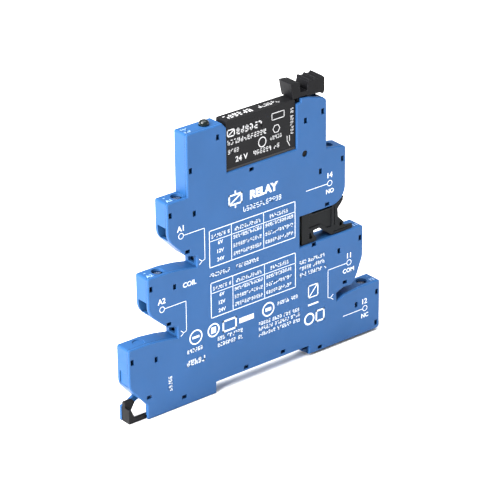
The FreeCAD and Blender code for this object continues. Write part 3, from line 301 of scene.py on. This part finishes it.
# black parts: grey painted highlights on edges
BLACK = {"sheen": 0.09, "edge_highlight_colour": (0.09, 0.09, 0.10)}
MATERIALS = {
    "housing_blue": plastic("moulded_blue", BLUE, 0.42, **HOUSING),
    # the rear shell's blue, with painted shade on its snap posts
    "shell_blue": plastic("shell_blue", BLUE, 0.42, post_shade_mm=PARTING,
                          **HOUSING),
    "board_green": solder_resist("board_lacquer", (0.02, 0.16, 0.06)),
    "component_dark": plastic("epoxy_dark", (0.012, 0.012, 0.013), 0.4),
    "component_blue": plastic("disc_blue", (0.02, 0.08, 0.32), 0.3,
                              grain_mm=1.2, grain_depth=0.02),
    "component_tan": plastic("dipped_tan", (0.42, 0.26, 0.12), 0.35),
    "lens_green": lens("tinted_lens", (0.001, 0.006, 0.006), 0.12, 0.04),
    "led_clear": lens("clear_epoxy", (0.75, 0.82, 0.78), 0.08, 0.8),
    "lever_black": plastic("lever_black", (0.005, 0.005, 0.006), 0.42,
                           **BLACK),
    "latch_black": plastic("latch_black", (0.007, 0.007, 0.008), 0.42,
                           **BLACK),
    "plug_black": plastic("plug_black", (0.005, 0.006, 0.007), 0.42,
                          **BLACK),
    # the relay's edges get a faint painted highlight
    "relay_black": plastic("relay_black", (0.008, 0.008, 0.009), 0.45,
                           grain_mm=0.35, sheen=0.09,
                           edge_highlight_colour=(0.045, 0.045, 0.05)),
    "relay_base_black": plastic("base_black", (0.016, 0.016, 0.017), 0.42),
    "bobbin_ivory": plastic("bobbin_ivory", (0.72, 0.68, 0.55), 0.45),
    "copper_wire": wound_wire("wound_copper", (0.72, 0.30, 0.12), 0.12),
    "soft_iron": metal("soft_iron", (0.42, 0.42, 0.43), 0.38),
    "spring_steel": metal("spring_steel", (0.62, 0.62, 0.63), 0.25,
                          brushed=(1, 1, 6)),
    "card_white": plastic("card_white", (0.74, 0.73, 0.68), 0.5),
    "tinned_copper": metal("tinned_copper", (0.72, 0.70, 0.66), 0.3),
    "spring_bronze": metal("spring_bronze", (0.75, 0.45, 0.22), 0.28),
    "contact_silver": metal("contact_silver", (0.88, 0.87, 0.85), 0.2),
    "brass": metal("rolled_brass", (0.80, 0.58, 0.24), 0.28),
    "screw_steel": metal("plated_screw", (0.78, 0.79, 0.82), 0.26),
    # cage darker than plated steel: painted shade in the wire entries
    "cage_steel": metal("cage_painted_shade", (0.22, 0.22, 0.24), 0.4),
}
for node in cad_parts.values():
    for index, held in enumerate(node.data.materials):
        node.data.materials[index] = MATERIALS[held.name.split(".")[0]]
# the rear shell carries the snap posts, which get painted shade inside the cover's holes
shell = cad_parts["rear_shell"].data.materials
for index in range(len(shell)):
    shell[index] = MATERIALS["shell_blue"]


def printed(name, colour):
    """Pad-printed ink: thin, a little broken where it was rubbed."""
    material, tree, shader = new_material(name)
    patchy = spread(tree, noise(tree, 1.2, 5), 0, 1)
    tree.links.new(blend_colours(tree, patchy, scaled(colour, 0.9), colour),
                   shader.inputs["Base Color"])
    tree.links.new(bump(tree, noise(tree, 0.3, 2), 0.002),
                   shader.inputs["Normal"])
    shader.inputs["Roughness"].default_value = 0.5
    return material


INK_WHITE = printed("ink_white", (0.80, 0.85, 0.92))
INK_GREY = printed("ink_grey", (0.60, 0.60, 0.61))
INK_PALE = printed("ink_pale", (0.34, 0.52, 0.84))


# ------------------------------------------------------------------- prints
INK_RAISED = 0.02   # mm that ink stands proud of the face
INK_SUNK = 0.01     # mm that it reaches into the face
STROKE = 0.22       # mm, width of a thin printed line
EXTRUDED = 0.1      # lettering's thickness before it is flattened to ink
LETTER_WIDTH, LETTER_STEP = 0.56, 0.78      # shares of a letter's height
WORD_LETTERS = (3, 7)                       # fewest and most in a word
WORD_GAP = 0.7                              # share of a letter's step


class Printing:
    """Flat marks on one face, gathered into one thin mesh.

    The face has its own flat coordinates u and v in mm, right and up as read.
    """

    def __init__(self, name, body, origin, right, up, material=INK_WHITE):
        self.name, self.body, self.material = name, body, material
        right, up = Vector(right), Vector(up)
        out = right.cross(up)
        self.place = Matrix.Translation(Vector(origin) * MM) @ Matrix(
            (right, up, out)).transposed().to_4x4()
        self.points, self.faces = [], []

    def outline(self, corners):
        """A filled convex shape, corners anticlockwise."""
        first, count = len(self.points), len(corners)
        for height in (-INK_SUNK, INK_RAISED):
            self.points += [(u, v, height) for u, v in corners]
        low = [first + i for i in range(count)]
        high = [first + count + i for i in range(count)]
        self.faces += [tuple(reversed(low)), tuple(high)]
        for i in range(count):
            j = (i + 1) % count
            self.faces.append((low[i], low[j], high[j], high[i]))

    def bar(self, left, bottom, right, top):
        self.outline([(left, bottom), (right, bottom), (right, top),
                      (left, top)])

    def line(self, points, width=STROKE):
        half = width / 2
        for (u0, v0), (u1, v1) in zip(points, points[1:]):
            length = math.hypot(u1 - u0, v1 - v0)
            du, dv = (u1 - u0) / length * half, (v1 - v0) / length * half
            self.outline([(u0 - du + dv, v0 - dv - du),
                          (u1 + du + dv, v1 + dv - du),
                          (u1 + du - dv, v1 + dv + du),
                          (u0 - du - dv, v0 - dv + du)])

    def ring(self, u, v, radius, width=STROKE, squash=1.0, steps=36):
        """A flat ring; few steps make it a regular polygon."""
        inner, outer = radius - width / 2, radius + width / 2
        first = len(self.points)
        for height in (-INK_SUNK, INK_RAISED):
            for r in (inner, outer):
                self.points += [
                    (u + r * math.cos(a), v + squash * r * math.sin(a), height)
                    for a in (2 * math.pi * i / steps for i in range(steps))]
        low_in, low_out, high_in, high_out = (
            first + k * steps for k in range(4))
        for i in range(steps):
            j = (i + 1) % steps
            self.faces += [
                (high_in + i, high_out + i, high_out + j, high_in + j),
                (low_in + j, low_out + j, low_out + i, low_in + i),
                (low_out + i, low_out + j, high_out + j, high_out + i),
                (low_in + j, low_in + i, high_in + i, high_in + j)]

    def box_outline(self, left, bottom, right, top, width=STROKE):
        self.line([(left, bottom), (right, bottom)], width)
        self.line([(right, bottom), (right, top)], width)
        self.line([(right, top), (left, top)], width)
        self.line([(left, top), (left, bottom)], width)

    def word(self, text, u, v, height, bold=0.0):
        """Generic lettering, height mm tall and centred on u, v."""
        curve = bpy.data.curves.new("lettering", "FONT")
        curve.body = text
        curve.resolution_u = 3
        curve.offset = bold
        curve.extrude = EXTRUDED
        holder = bpy.data.objects.new("lettering", curve)
        bpy.context.scene.collection.objects.link(holder)
        bpy.context.view_layer.update()
        shape = bpy.data.meshes.new_from_object(
            holder.evaluated_get(bpy.context.evaluated_depsgraph_get()))
        low = [min(p.co[k] for p in shape.vertices) for k in range(2)]
        high = [max(p.co[k] for p in shape.vertices) for k in range(2)]
        middle = [(a + b) / 2 for a, b in zip(low, high)]
        scale = height / (high[1] - low[1])
        first = len(self.points)
        for p in shape.vertices:
            self.points.append((u + (p.co[0] - middle[0]) * scale,
                                v + (p.co[1] - middle[1]) * scale,
                                INK_RAISED if p.co[2] > 0 else -INK_SUNK))
        for f in shape.polygons:
            self.faces.append(tuple(first + i for i in f.vertices))
        bpy.data.objects.remove(holder)
        bpy.data.curves.remove(curve)
        bpy.data.meshes.remove(shape)

    def dummy(self, left, right, v, height, seed, turn=0.0, thick=0.19,
              gaps=True):
        """A line of meaningless strokes that stands for a line of type."""
        draw = random.Random(seed)
        wide, step = height * LETTER_WIDTH, height * LETTER_STEP
        stroke = height * thick
        cos, sin = math.cos(turn), math.sin(turn)
        along = 0.0
        letters_left = draw.randint(*WORD_LETTERS)
        while along + wide <= right - left:
            if letters_left == 0 and gaps:
                along += step * WORD_GAP
                letters_left = draw.randint(*WORD_LETTERS)
                continue
            letters_left -= 1
            for a0, b0, a1, b1 in self.glyph(draw, wide, height, stroke):
                corners = [(a0, b0), (a1, b0), (a1, b1), (a0, b1)]
                self.outline([
                    (left + (along + a) * cos - b * sin,
                     v + (along + a) * sin + b * cos) for a, b in corners])
            along += step

    @staticmethod
    def glyph(draw, wide, height, stroke):
        """Three to five strokes of a made-up letter, as low and high corners."""
        half = height / 2
        left, right = (0, stroke), (wide - stroke, wide)
        levels = ((half - stroke, half), (-stroke / 2, stroke / 2),
                  (-half, stroke - half))
        strokes = [(side[0], low, side[1], high)
                   for side, low, high in (
                       draw.choice(((left, -half, half), (right, -half, half))),
                       draw.choice(((left, 0, half), (right, -half, 0),
                                    (left, -half, 0), (right, 0, half))))]
        for low, high in draw.sample(levels, draw.randint(1, 3)):
            strokes.append((0, low, wide, high))
        return strokes

    def make(self):
        mesh = bpy.data.meshes.new(self.name)
        mesh.from_pydata(self.points, [], self.faces)
        mesh.transform(Matrix.Diagonal((MM, MM, MM, 1)))
        mesh.transform(self.place)
        mesh.materials.append(self.material)
        piece = bpy.data.objects.new(self.name, mesh)
        bpy.context.scene.collection.objects.link(piece)
        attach(piece, self.body)


SIDE = ((0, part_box("side_cover")[0].y / MM, 0), (1, 0, 0), (0, 0, 1))
SMALL_TYPE = 1.3    # mm, height of the small type on the side

# each terminal's name, the name's centre, its ring's centre, where its lead
# turns, where the lead ends and the side of the jumper sign there
LEADS = (
    ("A1", (-34.7, 59.0), (-34.5, 56.4), (-25.2, 56.4), (-25.2, 45.6), -1),
    ("A2", (-42.7, 36.2), (-42.6, 33.3), (-33.1, 33.3), (-33.1, 22.8), -1),
    ("14", (26.7, 59.7), (26.6, 56.8), (16.7, 56.8), None, 0),
    ("11", (35.1, 28.1), (35.1, 25.5), (26.0, 25.5), (26.0, 15.4), 1),
    ("12", (42.2, 8.9), (42.3, 6.2), (32.8, 6.2), None, 0),
)
RING = 0.95         # mm, radius of a terminal's ring
CONTACTS = (("NO", (26.7, 54.0)), ("COM", (34.9, 22.8)), ("NC", (42.3, 3.6)))


def print_terminals():
    """Terminal names, each with its lead drawn from a ring."""
    leads = Printing("print_leads", "socket", *SIDE)
    names = Printing("print_names", "socket", *SIDE)
    for text, at, ring, corner, end, side in LEADS:
        names.word(text, *at, 1.9, bold=0.02)
        leads.ring(*ring, RING)
        towards = 1 if corner[0] > ring[0] else -1
        leads.line([(ring[0] + towards * (RING + 0.1), ring[1]), corner])
        if end:
            leads.line([corner, end])
            leads.line([end, (end[0] + side * 1.0, end[1] - 0.4)])
            tip = (end[0] + side * 1.1, end[1] - 0.4)
            leads.line([(tip[0] + side * 1.1, tip[1] + 0.9), tip])
            leads.line([tip, (tip[0] + side * 1.1, tip[1] - 0.9)])
    for text, at in CONTACTS:
        names.word(text, *at, 1.6, bold=0.02)
    names.word("COIL", -31.5, 39.0, 1.75, bold=0.02)
    names.make()
    leads.make()


# each table's left, right, bottom and top, its two dividers, and the heights
# of its heading and of its three rows
TABLES = (
    (-23.3, 11.9, 41.8, 54.6, (-14.4, -1.2), 52.4, (49.7, 46.7, 43.8)),
    (-23.0, 12.0, 23.8, 36.2, (-14.1, -1.0), 34.0, (31.2, 28.4, 25.6)),
)
VOLTAGES = ("6V", "12V", "24V")
TABLE_TYPE = 1.25   # mm, height of the type in the tables


def print_tables():
    """Two ruled tables of coil voltages, with a line of type between."""
    tables = Printing("print_tables", "socket", *SIDE)
    for left, right, bottom, top, (first, second), header, rows in TABLES:
        tables.box_outline(left, bottom, right, top, 0.26)
        for u in (first, second):
            tables.line([(u, bottom), (u, top)], 0.2)
        under = header - 1.5
        tables.line([(left, under), (right, under)], 0.2)
        tables.dummy(left + 0.9, first - 0.7, header, TABLE_TYPE, 11)
        tables.dummy(first + 1.4, second - 1.2, header, TABLE_TYPE, 12,
                     gaps=False)
        tables.dummy(second + 2.6, right - 2.4, header, TABLE_TYPE, 13,
                     gaps=False)
        for step, v in enumerate(rows):
            tables.word(VOLTAGES[step], (left + first) / 2, v, 1.3,
                        bold=0.008)
            tables.dummy(first + 0.8, second - 0.6, v, TABLE_TYPE, 20 + step,
                         gaps=False)
            tables.dummy(second + 0.8, right - 0.8, v, TABLE_TYPE, 30 + step,
                         gaps=False)
    tables.dummy(-23.4, -15.0, 38.9, 1.35, 41, gaps=False)
    tables.dummy(-12.6, -2.4, 38.9, 1.35, 42, gaps=False)
    tables.make()


def print_marks():
    """Heading with the sign of a relay coil, plain shapes and small type."""
    marks = Printing("print_marks", "socket", *SIDE)
    marks.box_outline(-15.1, 61.0, -10.1, 64.3, 0.55)
    marks.line([(-14.4, 61.5), (-10.8, 63.8)], 0.5)
    marks.line([(-12.6, 59.9), (-12.6, 60.8)], 0.5)
    marks.line([(-12.6, 64.5), (-12.6, 65.4)], 0.5)
    marks.word("RELAY", -0.9, 62.4, 3.1, bold=0.055)
    marks.dummy(-9.4, 6.5, 58.1, 1.7, 51, thick=0.13, gaps=False)
    marks.ring(-29.4, 19.2, 2.4, 0.45)
    marks.bar(-30.8, 18.8, -28.0, 19.6)
    marks.ring(-22.2, 19.3, 2.2, 0.5)
    marks.bar(-23.2, 18.2, -21.2, 20.4)
    marks.box_outline(-18.2, 17.3, -13.0, 21.0, 0.6)
    marks.bar(-11.6, 18.2, -5.6, 20.0)
    marks.ring(0.5, 19.4, 2.3, 0.5)
    marks.bar(-0.7, 18.8, 1.7, 20.0)
    marks.dummy(4.4, 13.4, 20.2, SMALL_TYPE, 52)
    marks.dummy(-33.0, -26.0, 14.8, 1.4, 53)
    marks.dummy(-33.2, -25.2, 10.6, 2.0, 54, thick=0.2, gaps=False)
    marks.dummy(-20.6, -9.4, 15.5, 1.4, 55)
    marks.dummy(-20.6, -9.4, 13.2, 1.4, 56)
    for step, v in enumerate((15.2, 13.3, 11.3)):
        marks.dummy(-3.5, 14.2, v, SMALL_TYPE, 60 + step)
    for step, v in enumerate((31.8, 29.6, 27.3)):
        marks.dummy(13.8, 26.0, v, SMALL_TYPE, 70 + step)
    marks.box_outline(17.6, 17.9, 21.6, 22.2, 0.35)
    marks.line([(17.8, 18.1), (21.4, 22.0)], 0.35)
    marks.bar(17.4, 14.9, 21.8, 15.5)
    marks.ring(17.9, 10.1, 1.9, 0.6)
    marks.box_outline(21.0, 8.2, 24.2, 12.0, 0.6)
    marks.dummy(-40.0, -33.5, 3.4, 1.4, 80, turn=math.pi / 2)
    marks.make()


def print_tops():
    """Terminal names on the blocks' tops, and small type by the lamp."""
    for text, corner, level in (("A1", -39.7, 68.8), ("A2", -47.9, 45.4),
                                ("11", 41.2, 37.4), ("12", 48.9, 14.9)):
        inward = 1 if corner < 0 else -1
        label = top_face("print_top_" + text, "socket", level, INK_PALE)
        label.word(text, corner + inward * 2.0, -1.2, 1.5, bold=0.01)
        label.word("-" if inward > 0 else "+", corner + inward * 2.0, 1.2,
                   0.25)
        label.make()
    lamp = top_face("print_top_lamp", "socket", 89.9, INK_PALE)
    lamp.dummy(-30.8, -27.4, 0.9, 1.2, 98)
    lamp.dummy(-30.8, -27.8, -1.2, 1.1, 99)
    lamp.make()


def top_face(name, body, level, ink):
    return Printing(name, body, (0, 0, level), (1, 0, 0), (0, 1, 0), ink)


def print_relay():
    """The relay's own face and top, which ride with it."""
    low, high = (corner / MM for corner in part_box("relay_case"))
    face = Printing("print_relay_face", "relay", (0, low.y, 0), (1, 0, 0),
                    (0, 0, 1), INK_GREY)
    face.box_outline(-15.0, 84.4, -12.2, 86.6, 0.4)
    face.line([(-14.6, 84.8), (-12.6, 86.2)], 0.35)
    face.dummy(-11.4, 0.2, 85.4, 2.3, 90, thick=0.2, gaps=False)
    face.dummy(-15.0, 0.6, 82.3, 1.7, 91, gaps=False)
    face.dummy(-14.8, -9.5, 79.2, 1.5, 92, gaps=False)
    face.word("24 V", -9.4, 76.0, 1.9, bold=0.015)
    face.dummy(-4.6, 6.6, 76.0, 1.6, 93)
    face.ring(-1.0, 78.9, 1.5, 0.3, squash=1.1)
    face.dummy(2.2, 7.2, 79.2, 1.3, 94)
    face.box_outline(3.0, 85.2, 8.0, 87.4, 0.25)
    face.ring(4.8, 81.9, 1.4, 0.25, steps=6)
    face.line([(9.2, 78.0), (9.2, 76.6), (10.2, 74.6)], 0.25)
    face.line([(10.2, 78.0), (10.2, 76.2)], 0.25)
    face.dummy(11.2, 20.4, 78.4, 1.2, 95, turn=math.pi / 2)
    face.make()
    top = top_face("print_relay_top", "relay", high.z, INK_GREY)
    top.dummy(-14.2, -2.4, -0.1, 2.4, 96, thick=0.2, gaps=False)
    top.dummy(-0.6, 8.6, -0.1, 1.8, 97, thick=0.16, gaps=False)
    top.make()


print_terminals()
print_tables()
print_marks()
print_tops()
print_relay()


# --------------------------------------------------- floor, lights, camera
def stage_floor(height, reach=4.0):
    """A pale square floor, reach metres to each side."""
    mesh = bpy.data.meshes.new("floor")
    mesh.from_pydata([(-reach, -reach, height), (reach, -reach, height),
                      (reach, reach, height), (-reach, reach, height)],
                     [], [(0, 1, 2, 3)])
    floor = bpy.data.objects.new("floor", mesh)
    bpy.context.scene.collection.objects.link(floor)
    material, tree, shader = new_material("floor_pale")
    tree.links.new(blend_colours(tree, noise(tree, 200, 2),
                                 (0.90, 0.90, 0.90), (0.93, 0.93, 0.93)),
                   shader.inputs["Base Color"])
    shader.inputs["Roughness"].default_value = 0.8
    mesh.materials.append(material)


def soft_light(name, direction, distance, size, watts):
    """A square soft box that faces the object's middle."""
    aim = (cad_low + cad_high) / 2
    light = bpy.data.lights.new(name, "AREA")
    light.shape, light.size = "SQUARE", size
    light.energy = watts
    holder = bpy.data.objects.new(name, light)
    bpy.context.scene.collection.objects.link(holder)
    way = Vector(direction).normalized()
    holder.location = aim + way * distance
    holder.rotation_mode = "QUATERNION"
    holder.rotation_quaternion = way.to_track_quat("Z", "Y")


stage_floor(cad_low.z)
soft_light("key", direction=(-0.86, -0.05, 0.56), distance=1.6, size=1.2,
           watts=88)
soft_light("overhead", direction=(0.0, 0.1, 1.0), distance=1.9, size=2.4,
           watts=66)

world = bpy.data.worlds.new("studio")
bpy.context.scene.world = world
world.use_nodes = True
sky = world.node_tree.nodes["Background"]
sky.inputs["Color"].default_value = (1.0, 1.0, 1.0, 1)
sky.inputs["Strength"].default_value = 0.5
bpy.context.scene.view_settings.view_transform = "Standard"

# the camera looks down at the near side from the coil end
AZIMUTH, ELEVATION, ROLL = (math.radians(d) for d in (-38.80, 25.69, -0.576))
TARGET = Vector((-4.40, 0.0, 41.16)) * MM
DISTANCE = 0.9069       # m
FOCAL, SENSOR = 203.0, 36.0     # mm
back = Vector((math.sin(AZIMUTH) * math.cos(ELEVATION),
               -math.cos(AZIMUTH) * math.cos(ELEVATION),
               math.sin(ELEVATION)))
level = Vector((math.cos(AZIMUTH), math.sin(AZIMUTH), 0))
upright = back.cross(level)
across = level * math.cos(ROLL) + upright * math.sin(ROLL)
upwards = upright * math.cos(ROLL) - level * math.sin(ROLL)
lens_data = bpy.data.cameras.new("camera")
lens_data.lens, lens_data.sensor_width = FOCAL, SENSOR
lens_data.clip_start, lens_data.clip_end = 0.05, 20.0
camera = bpy.data.objects.new("camera", lens_data)
bpy.context.scene.collection.objects.link(camera)
camera.matrix_world = Matrix.Translation(TARGET + back * DISTANCE) @ Matrix(
    (across, upwards, back)).transposed().to_4x4()
bpy.context.scene.camera = camera
